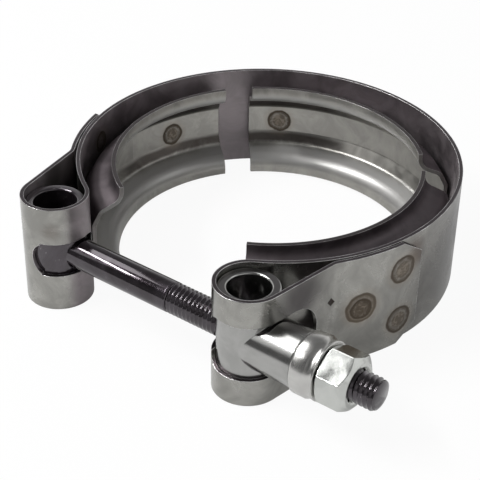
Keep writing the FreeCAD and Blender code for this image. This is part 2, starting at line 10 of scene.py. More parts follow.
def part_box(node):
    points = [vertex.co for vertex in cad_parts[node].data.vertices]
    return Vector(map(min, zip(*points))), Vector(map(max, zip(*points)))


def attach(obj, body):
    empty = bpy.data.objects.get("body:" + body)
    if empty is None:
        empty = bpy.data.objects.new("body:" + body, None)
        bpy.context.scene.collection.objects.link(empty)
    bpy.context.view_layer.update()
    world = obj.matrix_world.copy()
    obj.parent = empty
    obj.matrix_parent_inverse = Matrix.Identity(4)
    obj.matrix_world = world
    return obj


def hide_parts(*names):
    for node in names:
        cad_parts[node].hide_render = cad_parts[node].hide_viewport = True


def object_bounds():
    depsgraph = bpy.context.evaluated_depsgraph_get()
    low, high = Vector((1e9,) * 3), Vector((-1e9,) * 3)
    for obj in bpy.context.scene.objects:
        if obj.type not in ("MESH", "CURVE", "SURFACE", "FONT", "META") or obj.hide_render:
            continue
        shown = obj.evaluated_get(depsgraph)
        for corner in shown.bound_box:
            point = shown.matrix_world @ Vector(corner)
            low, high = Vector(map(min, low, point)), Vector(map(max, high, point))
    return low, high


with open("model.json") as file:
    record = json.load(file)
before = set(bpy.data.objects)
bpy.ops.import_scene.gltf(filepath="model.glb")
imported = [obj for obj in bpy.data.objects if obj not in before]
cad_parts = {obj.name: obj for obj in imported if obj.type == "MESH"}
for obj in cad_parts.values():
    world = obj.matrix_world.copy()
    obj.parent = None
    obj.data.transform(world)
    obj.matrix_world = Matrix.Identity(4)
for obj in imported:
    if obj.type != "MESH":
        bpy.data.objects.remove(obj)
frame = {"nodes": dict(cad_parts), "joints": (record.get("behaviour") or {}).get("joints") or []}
cad_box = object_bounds()

MM = 0.001
SAME_PLACE = 0.001 * MM
TOUCH = 0.002 * MM
NEAR = 0.01 * MM
PIECES = frame["nodes"]

# The ring axis is the Z axis, and the bolt runs along X through the two pivots.
joint_places = {joint["name"]: Vector(joint["pos_m"])
                for joint in frame["joints"] if "pos_m" in joint}
HEAD_PIVOT = joint_places["t_bolt_pivot"]
TRUNNION_PIVOT = joint_places["trunnion_pivot"]


def on_ring(angle, radius, height):
    """Place on the ring, in metres, from an angle in degrees and sizes in millimetres."""
    turn = radians(angle)
    return Vector((cos(turn) * radius, sin(turn) * radius, height)) * MM


# ---------------------------------------------------------------- tints on the steel, and colours for painted shade and painted highlights
BURNT_BROWN = (0.072, 0.057, 0.043, 1)
STRAW = (0.28, 0.235, 0.185, 1)
# Dark colour for weld grime, for painted shade in the groove's creases and on its upper lip, and
# for the grime in a nick.
DARK_FILM_AND_SHADE = (0.035, 0.027, 0.024, 1)
# Light steel for the painted sheen on the groove's flanks.
FLANK_SHEEN_STEEL = (0.40, 0.395, 0.385, 1)
# Bright colour for the painted highlight along sharp corners.
CORNER_HIGHLIGHT = (0.80, 0.79, 0.79, 1)
# Dark grey for patches of painted shade on the strap.
GREY_PAINTED_SHADE = (0.050, 0.044, 0.046, 1)
BROWN_TARNISH = (0.085, 0.060, 0.050, 1)
OXIDE = (0.032, 0.025, 0.030, 1)
THIN_OXIDE = (0.060, 0.051, 0.060, 1)
BARE_CHIP = (0.36, 0.34, 0.35, 1)


# ---------------------------------------------------------------- node helpers
VECTOR = "NodeSocketVector"
NUMBER = "NodeSocketFloat"


def add_node(tree, kind, inputs=None, **settings):
    """Add a node, set its properties, and fill or link its inputs."""
    made = tree.nodes.new(kind)
    for name, value in settings.items():
        setattr(made, name, value)
    for name, value in (inputs or {}).items():
        if isinstance(value, bpy.types.NodeSocket):
            tree.links.new(value, made.inputs[name])
        else:
            made.inputs[name].default_value = value
    return made


def maths(tree, operation, first, second=0.0, clamp=False):
    return add_node(tree, "ShaderNodeMath", {0: first, 1: second},
                    operation=operation, use_clamp=clamp).outputs[0]


def vector_maths(tree, operation, *given):
    """Vector maths. Gives a number where the operation does, and otherwise a vector."""
    made = add_node(tree, "ShaderNodeVectorMath", dict(enumerate(given)), operation=operation)
    number = operation in ("DOT_PRODUCT", "DISTANCE", "LENGTH")
    return made.outputs["Value" if number else "Vector"]


def scaled(tree, vector, factor):
    return add_node(tree, "ShaderNodeVectorMath", {0: vector, "Scale": factor},
                    operation="SCALE").outputs["Vector"]


def height_of(tree, vector):
    """Z part of a place or a direction."""
    return add_node(tree, "ShaderNodeSeparateXYZ", {0: vector}).outputs["Z"]


def blend_colours(tree, factor, first, second):
    return add_node(tree, "ShaderNodeMix", {0: factor, 6: first, 7: second},
                    data_type="RGBA").outputs[2]


def ramp(tree, value, low, high, start=0.0, end=1.0):
    """Smooth step of a value between two limits."""
    return add_node(tree, "ShaderNodeMapRange",
                    {"Value": value, "From Min": low, "From Max": high,
                     "To Min": start, "To Max": end},
                    interpolation_type="SMOOTHSTEP").outputs[0]


def plateau(tree, value, limits):
    """1 between the two middle limits, falling softly to 0 at the outer ones."""
    rises, full, falls, gone = limits
    return maths(tree, "MULTIPLY", ramp(tree, value, rises, full),
                 ramp(tree, value, falls, gone, 1.0, 0.0))


def noise(tree, place, scale, detail, roughness=0.5, distortion=0.0, output="Fac"):
    """Cloudy noise, as a number or as a colour."""
    return add_node(tree, "ShaderNodeTexNoise",
                    {"Vector": place, "Scale": scale, "Detail": detail, "Roughness": roughness,
                     "Distortion": distortion}).outputs[output]


def new_group(name, inputs, outputs):
    """Empty shader group with named sockets, given as name and socket type."""
    group = bpy.data.node_groups.new(name, "ShaderNodeTree")
    for side, sockets in (("INPUT", inputs), ("OUTPUT", outputs)):
        for socket_name, kind in sockets.items():
            group.interface.new_socket(socket_name, in_out=side, socket_type=kind)
    entry = group.nodes.new("NodeGroupInput")
    exit_node = group.nodes.new("NodeGroupOutput")
    return group, entry.outputs, exit_node.inputs


# ---------------------------------------------------------------- shared effects
def make_rolled_grain():
    """Fine rolling lines, soft smudges and the small scratches of handled sheet steel."""
    group, given, result = new_group(
        "rolled_grain", {"Place": VECTOR, "Stretch": VECTOR},
        {"Lines": NUMBER, "Smudge": NUMBER, "Scratch": NUMBER, "Height": NUMBER})
    stretched = vector_maths(group, "MULTIPLY", given["Place"], given["Stretch"])
    lines = noise(group, stretched, 1.0, 4.0, roughness=0.6)
    smudge = noise(group, given["Place"], 95.0, 5.0, roughness=0.62, distortion=0.8)
    wave = noise(group, given["Place"], 42.0, 1.0)
    cells = add_node(group, "ShaderNodeTexVoronoi", {"Vector": stretched, "Scale": 0.35},
                     feature="DISTANCE_TO_EDGE").outputs["Distance"]
    scratch = ramp(group, cells, 0.0, 0.012, 1.0, 0.0)
    rare = ramp(group, smudge, 0.55, 0.68)
    height = maths(group, "ADD", maths(group, "MULTIPLY", lines, 0.05),
                   maths(group, "MULTIPLY", wave, 0.9))
    group.links.new(lines, result["Lines"])
    group.links.new(smudge, result["Smudge"])
    group.links.new(maths(group, "MULTIPLY", scratch, rare), result["Scratch"])
    group.links.new(height, result["Height"])
    return group


WELD_WOBBLE = 0.7 * MM


def make_spot_weld():
    """One spot weld: a burnt ring, a paler dished middle and a faint halo of straw tint."""
    group, given, result = new_group(
        "spot_weld", {"Place": VECTOR, "Centre": VECTOR, "Radius": NUMBER},
        {"Burn": NUMBER, "Heart": NUMBER, "Halo": NUMBER, "Height": NUMBER})
    wobble = noise(group, given["Place"], 420.0, 2.0, output="Color")
    shift = scaled(group, vector_maths(group, "SUBTRACT", wobble, (0.5, 0.5, 0.5)), WELD_WOBBLE)
    near = vector_maths(group, "ADD", given["Place"], shift)
    distance = vector_maths(group, "DISTANCE", near, given["Centre"])
    share = maths(group, "DIVIDE", distance, given["Radius"])
    disc = ramp(group, share, 0.94, 1.06, 1.0, 0.0)
    ring = maths(group, "MULTIPLY", ramp(group, share, 0.66, 0.86), disc)
    groove = plateau(group, share, (0.52, 0.62, 0.66, 0.76))
    core = maths(group, "MULTIPLY", ramp(group, share, 0.30, 0.74, 1.0, 0.0), disc)
    swirl = noise(group, near, 620.0, 2.0, distortion=1.6)
    pale = maths(group, "ADD", maths(group, "MULTIPLY", groove, 0.30),
                 maths(group, "MULTIPLY", ramp(group, swirl, 0.48, 0.62), 0.30))
    burn = maths(group, "SUBTRACT", disc, maths(group, "MULTIPLY", pale, disc), clamp=True)
    halo = ramp(group, share, 0.95, 1.6, 1.0, 0.0)
    dish = maths(group, "SUBTRACT", maths(group, "MULTIPLY", ring, 0.5), disc)
    group.links.new(maths(group, "MAXIMUM", maths(group, "MULTIPLY", burn, 0.82),
                          maths(group, "MULTIPLY", ring, 0.95)), result["Burn"])
    group.links.new(maths(group, "MULTIPLY", core, ramp(group, swirl, 0.40, 0.62, 0.25, 1.0)),
                    result["Heart"])
    group.links.new(halo, result["Halo"])
    group.links.new(dish, result["Height"])
    return group


UNROLL_RADIUS = 50 * MM


def make_ring_sides():
    """Which way a face of the band looks: away from the ring axis, and up or down."""
    group, given, result = new_group(
        "ring_sides", {"Place": VECTOR, "Normal": VECTOR},
        {"Outward": NUMBER, "Edge": NUMBER, "Height": NUMBER, "Round": VECTOR})
    place = add_node(group, "ShaderNodeSeparateXYZ", {0: given["Place"]}).outputs
    flat = add_node(group, "ShaderNodeCombineXYZ", {"X": place["X"], "Y": place["Y"]}).outputs[0]
    facing = vector_maths(group, "DOT_PRODUCT", vector_maths(group, "NORMALIZE", flat),
                          given["Normal"])
    tall = height_of(group, given["Normal"])
    arc = maths(group, "MULTIPLY", maths(group, "ARCTAN2", place["Y"], place["X"]), UNROLL_RADIUS)
    unrolled = add_node(group, "ShaderNodeCombineXYZ",
                        {"X": arc, "Y": vector_maths(group, "LENGTH", flat),
                         "Z": place["Z"]}).outputs[0]
    group.links.new(ramp(group, facing, -0.25, 0.25), result["Outward"])
    group.links.new(ramp(group, maths(group, "ABSOLUTE", tall), 0.6, 0.8), result["Edge"])
    group.links.new(place["Z"], result["Height"])
    group.links.new(unrolled, result["Round"])
    return group


def make_tarnish_and_shade():
    """Soft uneven patch round a place, used for brown stains and for painted shade."""
    group, given, result = new_group(
        "tarnish_and_shade", {"Place": VECTOR, "Centre": VECTOR, "Radius": NUMBER}, {"Amount": NUMBER})
    cloud = noise(group, given["Place"], 140.0, 3.0)
    distance = vector_maths(group, "DISTANCE", given["Place"], given["Centre"])
    share = maths(group, "DIVIDE", distance, given["Radius"])
    uneven = maths(group, "MULTIPLY", maths(group, "SUBTRACT", cloud, 0.5), 0.35)
    share = maths(group, "ADD", share, uneven)
    group.links.new(ramp(group, share, 0.15, 1.0, 1.0, 0.0), result["Amount"])
    return group


ROLLED_GRAIN = make_rolled_grain()
TARNISH_AND_SHADE = make_tarnish_and_shade()
SPOT_WELD = make_spot_weld()
RING_SIDES = make_ring_sides()


def use_group(tree, group, inputs):
    """Place a shared effect in a material."""
    return add_node(tree, "ShaderNodeGroup", inputs, node_tree=group).outputs


def new_finish(name, metallic=1.0):
    """Material with a Principled shader, and its object coordinates."""
    finish = bpy.data.materials.new(name)
    finish.use_nodes = True
    tree = finish.node_tree
    shader = tree.nodes["Principled BSDF"]
    shader.inputs["Metallic"].default_value = metallic
    coordinates = add_node(tree, "ShaderNodeTexCoord").outputs
    return finish, tree, shader, coordinates


def round_edges(tree, rounding):
    """Normal of softly rounded edges."""
    return add_node(tree, "ShaderNodeBevel", {"Radius": rounding}, samples=8).outputs[0]


SHEET_BUMP = 0.12 * MM
TURNED_BUMP = 0.1 * MM


def set_bump(tree, shader, height, distance, rounded):
    """Bump over softly rounded edges."""
    bump = add_node(tree, "ShaderNodeBump",
                    {"Height": height, "Distance": distance, "Strength": 1.0,
                     "Normal": rounded}).outputs[0]
    tree.links.new(bump, shader.inputs["Normal"])


def painted_corner_highlight(tree, rounded):
    """Painted highlight: bright line along the sharp corners, where the rounded normal leaves the
    face's own.
    """
    own = add_node(tree, "ShaderNodeNewGeometry").outputs["Normal"]
    return ramp(tree, vector_maths(tree, "DOT_PRODUCT", rounded, own), 0.84, 0.97, 1.0, 0.0)


def lay_welds(tree, place, colour, roughness, welds):
    """Lay spot welds over a sheet finish. Returns the new colour, roughness and height."""
    height = None
    for centre, radius in welds:
        weld = use_group(tree, SPOT_WELD, {"Place": place, "Centre": centre,
                                           "Radius": radius * MM})
        colour = blend_colours(tree, maths(tree, "MULTIPLY", weld["Halo"], 0.25), colour, STRAW)
        colour = blend_colours(tree, weld["Burn"], colour, BURNT_BROWN)
        colour = blend_colours(tree, maths(tree, "MULTIPLY", weld["Heart"], 0.45), colour, STRAW)
        roughness = maths(tree, "ADD", roughness, maths(tree, "MULTIPLY", weld["Burn"], 0.16))
        height = weld["Height"] if height is None else maths(tree, "ADD", height, weld["Height"])
    return colour, roughness, height


def sheet_finish(name, outside, inside, edge_shade, gloss, inner_gloss, corner_highlight_strength, welds, rounding,
                 film_and_shade=(), tarnish_and_shade=(), nicks=(), flank_sheen=False, rim=0.0):
    """Sheet steel, with one colour on faces that look out from the ring axis and another on faces
    that look in, and with spot welds.

    Sheet faces that look up or down, further than rim from mid height, are darkened as painted
    shade.
    """
    finish, tree, shader, coordinates = new_finish(name)
    place = coordinates["Object"]
    sides = use_group(tree, RING_SIDES, {"Place": place, "Normal": coordinates["Normal"]})
    grain = use_group(tree, ROLLED_GRAIN, {"Place": sides["Round"],
                                           "Stretch": (90.0, 400.0, 2600.0)})
    rounded = round_edges(tree, rounding)
    # Painted shade: one side of the sheet darker than the other.
    colour = blend_colours(tree, sides["Outward"], inside, outside)
    cloud = ramp(tree, grain["Smudge"], 0.36, 0.66, 0.80, 1.14)
    colour = scaled(tree, colour, cloud)
    # Painted highlight: a broad sheen on the groove's flanks, lighter in colour and less metallic.
    if flank_sheen:
        sheen = painted_flank_sheen(tree, sides, grain["Smudge"])
        colour = blend_colours(tree, sheen, colour, FLANK_SHEEN_STEEL)
        tree.links.new(maths(tree, "SUBTRACT", 1.0, maths(tree, "MULTIPLY", sheen, 0.5)),
                       shader.inputs["Metallic"])
    # Near the welds: grime, and painted shade in the creases and up the upper lip.
    for centre in film_and_shade:
        grime_and_shade = groove_film_and_shade(tree, place, sides, grain["Smudge"], centre)
        colour = blend_colours(tree, grime_and_shade, colour, DARK_FILM_AND_SHADE)
    # Patches: the grey ones painted shade, the brown ones stains.
    for centre, radius, strength, tint in tarnish_and_shade:
        patch = use_group(tree, TARNISH_AND_SHADE, {"Place": place, "Centre": centre,
                                          "Radius": radius * MM})
        amount = maths(tree, "MULTIPLY", patch["Amount"], sides["Outward"])
        colour = blend_colours(tree, maths(tree, "MULTIPLY", amount, strength), colour, tint)
    for centre, along, reach in nicks:
        colour = blend_colours(tree, nick(tree, place, centre, along, reach * MM), colour,
                               DARK_FILM_AND_SHADE)
    # Painted shade: faces that look up or down are darkened.
    at_rim = maths(tree, "GREATER_THAN", maths(tree, "ABSOLUTE", sides["Height"]), rim)
    colour = blend_colours(tree, maths(tree, "MULTIPLY", sides["Edge"], at_rim), colour, edge_shade)
    # Painted highlight along the sharp corners, broken up unevenly.
    corner_highlight_mask = maths(tree, "MULTIPLY", painted_corner_highlight(tree, rounded),
                 ramp(tree, grain["Smudge"], 0.38, 0.60, 0.35 * corner_highlight_strength, corner_highlight_strength))
    colour = blend_colours(tree, corner_highlight_mask, colour, CORNER_HIGHLIGHT)
    roughness = add_node(tree, "ShaderNodeMapRange",
                         {"Value": sides["Outward"], "To Min": inner_gloss,
                          "To Max": gloss}).outputs[0]
    for more in (ramp(tree, grain["Smudge"], 0.3, 0.7, -0.05, 0.08),
                 maths(tree, "MULTIPLY", grain["Lines"], 0.05),
                 maths(tree, "MULTIPLY", grain["Scratch"], 0.18)):
        roughness = maths(tree, "ADD", roughness, more)
    colour, roughness, dish = lay_welds(tree, place, colour, roughness, welds)
    tree.links.new(colour, shader.inputs["Base Color"])
    tree.links.new(roughness, shader.inputs["Roughness"])
    height = maths(tree, "ADD", maths(tree, "MULTIPLY", grain["Height"], 0.30), dish)
    set_bump(tree, shader, height, SHEET_BUMP, rounded)
    return finish


# Distances from mid height of the ring.
FLANKS = (6.8 * MM, 8.0 * MM, 10.0 * MM, 12.5 * MM)
FLANK_UNEVEN = 1.5 * MM
CREASES = (3.7 * MM, 5.0 * MM, 6.2 * MM, 7.4 * MM)
UPPER_LIP = (10.8 * MM, 13.6 * MM)
# Distances from the weld.
FILM_REACH = (10 * MM, 32 * MM)
FILM_UNEVEN = 12 * MM


def painted_flank_sheen(tree, sides, smudge):
    """Painted highlight: bands along the flanks of the groove, made lighter and less metallic to
    stand for a broad sheen.
    """
    uneven = maths(tree, "MULTIPLY", maths(tree, "SUBTRACT", smudge, 0.5), FLANK_UNEVEN)
    tall = maths(tree, "ADD", maths(tree, "ABSOLUTE", sides["Height"]), uneven)
    return maths(tree, "MULTIPLY", plateau(tree, tall, FLANKS),
                 maths(tree, "SUBTRACT", 1.0, sides["Outward"]))


def groove_film_and_shade(tree, place, sides, smudge, centre):
    """Darkening round a weld: partly weld grime, partly painted shade in the creases where the web
    turns into its flanks, and painted shade that grows darker up the upper lip.
    """
    distance = vector_maths(tree, "DISTANCE", place, centre)
    uneven = maths(tree, "MULTIPLY", maths(tree, "SUBTRACT", smudge, 0.5), FILM_UNEVEN)
    near = ramp(tree, maths(tree, "ADD", distance, uneven), *FILM_REACH, 1.0, 0.0)
    tall = maths(tree, "ABSOLUTE", sides["Height"])
    tall = maths(tree, "ADD", tall, maths(tree, "MULTIPLY", uneven, 0.12))
    # Painted shade in the creases between the web and its flanks.
    crease = maths(tree, "MULTIPLY", plateau(tree, tall, CREASES), 0.85)
    # Painted shade: the upper lip darker towards its upper end.
    top = maths(tree, "MULTIPLY", ramp(tree, sides["Height"], *UPPER_LIP), 0.5)
    where = maths(tree, "MAXIMUM", crease, top)
    inward = maths(tree, "SUBTRACT", 1.0, sides["Outward"])
    return maths(tree, "MULTIPLY", maths(tree, "MULTIPLY", where, inward), near)


NICK_LEAN = 0.26


def nick(tree, place, centre, along, reach):
    """Small four-cornered dent with grime in it, on the outside of the strap."""
    offset = vector_maths(tree, "SUBTRACT", place, centre)
    side = vector_maths(tree, "DOT_PRODUCT", offset, along)
    tall = maths(tree, "ADD", height_of(tree, offset), maths(tree, "MULTIPLY", side, NICK_LEAN))
    across = maths(tree, "ADD", maths(tree, "ABSOLUTE", side), maths(tree, "ABSOLUTE", tall))
    close = vector_maths(tree, "LENGTH", offset)
    return maths(tree, "MULTIPLY", ramp(tree, across, 0.8 * reach, reach, 1.0, 0.0),
                 ramp(tree, close, 2 * reach, 3 * reach, 1.0, 0.0))


TUBE_END = 12.5 * MM


def turned_finish(name, colour, gloss, axis_stretch, rounding, end_shade=None, bump=0.25):
    """Turned or drawn bright steel, with fine lines round its axis. A colour given for tube ends
    darkens their flat faces: painted shade.
    """
    finish, tree, shader, coordinates = new_finish(name)
    place = coordinates["Object"]
    grain = use_group(tree, ROLLED_GRAIN, {"Place": place, "Stretch": axis_stretch})
    cloud = ramp(tree, grain["Smudge"], 0.36, 0.66, 0.90, 1.08)
    tinted = scaled(tree, colour, cloud)
    # Painted shade: the flat tube ends darkened.
    if end_shade:
        upright = ramp(tree, maths(tree, "ABSOLUTE", height_of(tree, coordinates["Normal"])),
                       0.94, 0.99)
        at_end = maths(tree, "GREATER_THAN", maths(tree, "ABSOLUTE", height_of(tree, place)),
                       TUBE_END)
        tinted = blend_colours(tree, maths(tree, "MULTIPLY", upright, at_end), tinted,
                               end_shade)
    tree.links.new(tinted, shader.inputs["Base Color"])
    roughness = maths(tree, "ADD",
                      ramp(tree, grain["Smudge"], 0.3, 0.7, gloss - 0.03, gloss + 0.06),
                      maths(tree, "MULTIPLY", grain["Scratch"], 0.15))
    tree.links.new(roughness, shader.inputs["Roughness"])
    set_bump(tree, shader, maths(tree, "MULTIPLY", grain["Height"], bump), TURNED_BUMP,
             round_edges(tree, rounding))
    return finish


def dark_oxide_finish():
    """Dark glossy oxide of the bolt, thinner in places, with a few bare chips."""
    finish, tree, shader, coordinates = new_finish("dark_oxide", metallic=0.78)
    place = coordinates["Object"]
    grain = use_group(tree, ROLLED_GRAIN, {"Place": place, "Stretch": (150.0, 900.0, 900.0)})
    colour = blend_colours(tree, ramp(tree, grain["Smudge"], 0.40, 0.64), OXIDE, THIN_OXIDE)
    specks = noise(tree, place, 900.0, 2.0)
    chip = maths(tree, "MULTIPLY", ramp(tree, specks, 0.70, 0.73),
                 ramp(tree, grain["Smudge"], 0.52, 0.58))
    colour = blend_colours(tree, chip, colour, BARE_CHIP)
    tree.links.new(colour, shader.inputs["Base Color"])
    tree.links.new(ramp(tree, grain["Smudge"], 0.35, 0.7, 0.12, 0.22), shader.inputs["Roughness"])
    shader.inputs["Coat Weight"].default_value = 0.8
    shader.inputs["Coat Roughness"].default_value = 0.05
    set_bump(tree, shader, maths(tree, "MULTIPLY", grain["Height"], 0.22), TURNED_BUMP,
             round_edges(tree, 0.2 * MM))
    return finish


# ---------------------------------------------------------------- modelling helpers
def deselect_all():
    for thing in bpy.context.selected_objects:
        thing.select_set(False)


def work_on(piece):
    deselect_all()
    piece.select_set(True)
    bpy.context.view_layer.objects.active = piece


def select_points(piece, test):
    """In edit mode, select the points that pass a test on their place."""
    bpy.ops.mesh.select_all(action="DESELECT")
    bpy.ops.object.mode_set(mode="OBJECT")
    for point in piece.data.vertices:
        point.select = test(point.co)
    bpy.ops.object.mode_set(mode="EDIT")


def cut_across(place, side):
    """Cut the whole mesh square to X, drop one side and close the cut."""
    bpy.ops.mesh.select_all(action="SELECT")
    bpy.ops.mesh.bisect(plane_co=(place, 0, 0), plane_no=(1, 0, 0), use_fill=True,
                        clear_inner=side == "before", clear_outer=side == "after")


# ---------------------------------------------------------------- bolt
THREAD_PITCH = 1.25 * MM
THREAD_ROOT = 3.37 * MM
THREAD_CREST = 3.96 * MM
THREAD_START = TRUNNION_PIVOT.x - 22.5 * MM
THREAD_RUN_IN = 0.9 * MM
CREST_SPARE = 0.05 * MM
THREAD_STEPS = 36
TIP_CHAMFER = 1.2 * MM
SHANK_CHAMFER = 0.4 * MM
# Lengthwise squeeze of the tooth's crest, and spread of its foot.
TOOTH_CREST = 0.55
TOOTH_FOOT = 1.3


def make_shank():
    """Head and plain shank of the bolt, ended by the small chamfer where the thread begins."""
    cad = PIECES["t_bolt"]
    shank = bpy.data.objects.new("t_bolt_threaded", cad.data.copy())
    bpy.context.collection.objects.link(shank)
    work_on(shank)
    bpy.ops.object.mode_set(mode="EDIT")
    bpy.ops.mesh.select_all(action="SELECT")
    bpy.ops.mesh.remove_doubles(threshold=SAME_PLACE)
    cut_across(THREAD_START, "after")
    select_points(shank, lambda place: abs(place.x - THREAD_START) < TOUCH)
    bpy.ops.mesh.bevel(offset=SHANK_CHAMFER, segments=2, affect="EDGES")
    bpy.ops.object.mode_set(mode="OBJECT")
    return shank


def make_thread(end):
    """Threaded length: one tooth drawn from a strip, swept to a helix and trimmed to the blank."""
    start = THREAD_START - THREAD_RUN_IN
    turns = int((end - start) / THREAD_PITCH) + 4
    bpy.ops.mesh.primitive_grid_add(x_subdivisions=5, y_subdivisions=1, size=THREAD_PITCH)
    tooth = bpy.context.active_object
    tooth.name = "thread"
    work_on(tooth)
    bpy.ops.object.mode_set(mode="EDIT")
    select_points(tooth, lambda place: place.y < 0)
    bpy.ops.mesh.delete(type="VERT")
    bpy.ops.mesh.select_all(action="SELECT")
    bpy.ops.transform.resize(value=(1, 0, 0), center_override=(0, 0, 0))
    bpy.ops.transform.translate(value=(0, 0, THREAD_ROOT))
    select_points(tooth, lambda place: abs(place.x) / THREAD_PITCH < 0.2)
    bpy.ops.transform.translate(value=(0, 0, THREAD_CREST - THREAD_ROOT + CREST_SPARE))
    bpy.ops.transform.resize(value=(TOOTH_CREST, 1, 1), center_override=(0, 0, 0))
    select_points(tooth, lambda place: 0.2 < abs(place.x) / THREAD_PITCH < 0.4)
    bpy.ops.transform.resize(value=(TOOTH_FOOT, 1, 1), center_override=(0, 0, 0))
    bpy.ops.object.mode_set(mode="OBJECT")
    tooth.location = (start - 2 * THREAD_PITCH, HEAD_PIVOT.y, HEAD_PIVOT.z)
    sweep = tooth.modifiers.new("helix", "SCREW")
    sweep.axis = "X"
    sweep.angle = 2 * pi
    sweep.screw_offset = THREAD_PITCH
    sweep.iterations = turns
    sweep.steps = sweep.render_steps = THREAD_STEPS
    sweep.use_merge_vertices = True
    sweep.use_normal_calculate = True
    bpy.ops.object.modifier_apply(modifier=sweep.name)
    bpy.ops.object.transform_apply(location=True, rotation=True, scale=True)
    bpy.ops.object.mode_set(mode="EDIT")
    bpy.ops.mesh.select_all(action="SELECT")
    bpy.ops.mesh.remove_doubles(threshold=TOUCH)
    cut_across(start, "before")
    cut_across(end, "after")
    bpy.ops.mesh.select_all(action="SELECT")
    bpy.ops.mesh.normals_make_consistent(inside=False)
    bpy.ops.object.mode_set(mode="OBJECT")
    trim_to_blank(tooth, start - MM, end)
    return tooth


def trim_to_blank(thread, start, end):
    """Keep only what lies in the round blank with its chamfered tip."""
    middle = ((start + end) / 2, HEAD_PIVOT.y, HEAD_PIVOT.z)
    bpy.ops.mesh.primitive_cylinder_add(vertices=96, radius=THREAD_CREST, depth=end - start,
                                        location=middle, rotation=(0, pi / 2, 0))
    blank = bpy.context.active_object
    blank.name = "blank"
    work_on(blank)
    bpy.ops.object.transform_apply(location=True, rotation=True, scale=True)
    bpy.ops.object.mode_set(mode="EDIT")
    select_points(blank, lambda place: place.x > end - NEAR)
    bpy.ops.mesh.bevel(offset=TIP_CHAMFER, segments=2, affect="EDGES")
    bpy.ops.object.mode_set(mode="OBJECT")
    work_on(thread)
    keep = thread.modifiers.new("blank", "BOOLEAN")
    keep.operation = "INTERSECT"
    keep.solver = "EXACT"
    keep.object = blank
    bpy.ops.object.modifier_apply(modifier=keep.name)
    bpy.data.objects.remove(blank, do_unlink=True)


def make_bolt():
    """The bolt with its cut thread, in one piece with the head."""
    _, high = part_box("t_bolt")
    thread = make_thread(high[0])
    shank = make_shank()
    deselect_all()
    thread.select_set(True)
    shank.select_set(True)
    bpy.context.view_layer.objects.active = shank
    bpy.ops.object.join()
    bpy.ops.object.shade_smooth_by_angle(angle=radians(35))
    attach(shank, "bolt")
    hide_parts("t_bolt")
    return shank


# ---------------------------------------------------------------- washer
WASHER_RADIUS = 7.85 * MM
WASHER_BORE = 4.25 * MM
# From the barrel to the nut: (share of the length, share of the radius).
WASHER_WAIST = ((0.56, 1.0), (0.62, 0.978), (0.68, 0.955), (0.75, 0.938), (0.82, 0.935),
                (0.90, 0.945))
WASHER_REAR_SHARE = 0.97


def make_washer():
    """The turned washer: a broad land with rounded corners, and a soft waist next to the nut."""
    low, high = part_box("spacer_washer")
    length = high[0] - low[0]
    middle = ((low[0] + high[0]) / 2, TRUNNION_PIVOT.y, TRUNNION_PIVOT.z)
    bpy.ops.mesh.primitive_cylinder_add(vertices=128, radius=WASHER_RADIUS, depth=length,
                                        location=middle, rotation=(0, pi / 2, 0))
    washer = bpy.context.active_object
    washer.name = "spacer_washer_turned"
    work_on(washer)
    bpy.ops.object.transform_apply(location=True, rotation=True, scale=True)
    bpy.ops.object.mode_set(mode="EDIT")
    for share, _ in WASHER_WAIST:
        bpy.ops.mesh.select_all(action="SELECT")
        bpy.ops.mesh.bisect(plane_co=(low[0] + share * length, 0, 0), plane_no=(1, 0, 0))
    select_points(washer, lambda place: min(place.x - low[0], high[0] - place.x) < NEAR)
    bpy.ops.mesh.inset(thickness=WASHER_RADIUS - WASHER_BORE)
    bpy.ops.mesh.bridge_edge_loops()
    for share, squeeze in WASHER_WAIST:
        ring = low[0] + share * length
        select_points(washer, lambda place: abs(place.x - ring) < NEAR)
        bpy.ops.transform.resize(value=(1, squeeze, squeeze), center_override=middle)
    select_points(washer, lambda place: place.x > high[0] - NEAR and
                  (place - TRUNNION_PIVOT).yz.length > 0.75 * WASHER_RADIUS)
    bpy.ops.transform.resize(value=(1, WASHER_REAR_SHARE, WASHER_REAR_SHARE),
                             center_override=middle)
    bpy.ops.mesh.select_all(action="SELECT")
    bpy.ops.mesh.normals_make_consistent(inside=False)
    bpy.ops.object.mode_set(mode="OBJECT")
    corners = washer.modifiers.new("corners", "BEVEL")
    corners.width = 0.42 * MM
    corners.segments = 4
    corners.limit_method = "ANGLE"
    corners.angle_limit = radians(50)
    bpy.ops.object.modifier_apply(modifier=corners.name)
    bpy.ops.object.shade_smooth_by_angle(angle=radians(40))
    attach(washer, "washer")
    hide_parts("spacer_washer")
    return washer


# ---------------------------------------------------------------- finishes on the pieces
def give(piece, finish):
    """Give a piece one finish."""
    if piece.material_slots:
        for slot in piece.material_slots:
            slot.material = finish
    else:
        piece.data.materials.append(finish)


PIVOT_LEAD = degrees(atan2(TRUNNION_PIVOT.y, TRUNNION_PIVOT.x))


# Degrees from the pivot, or round the ring, then height and weld radius in millimetres.
EYE_WELDS = ((30, 0.3, 4.3), (43, 7.5, 3.9), (43, -7.5, 3.9))
WEB_WELDS = ((162, -1.2, 3.3), (122, -0.6, 3.5), (210, 0, 3.3), (-28, 0, 3.3))


def eye_welds(radius):
    """The three spot welds that hold each folded end down."""
    welds = []
    for mirror in (False, True):
        for lead, height, size in EYE_WELDS:
            angle = PIVOT_LEAD + lead
            welds.append((on_ring(180 - angle if mirror else angle, radius, height), size))
    return welds


def web_welds(radius):
    """Spot welds that hold the retainers in the band."""
    return [(on_ring(angle, radius, height), size) for angle, height, size in WEB_WELDS]


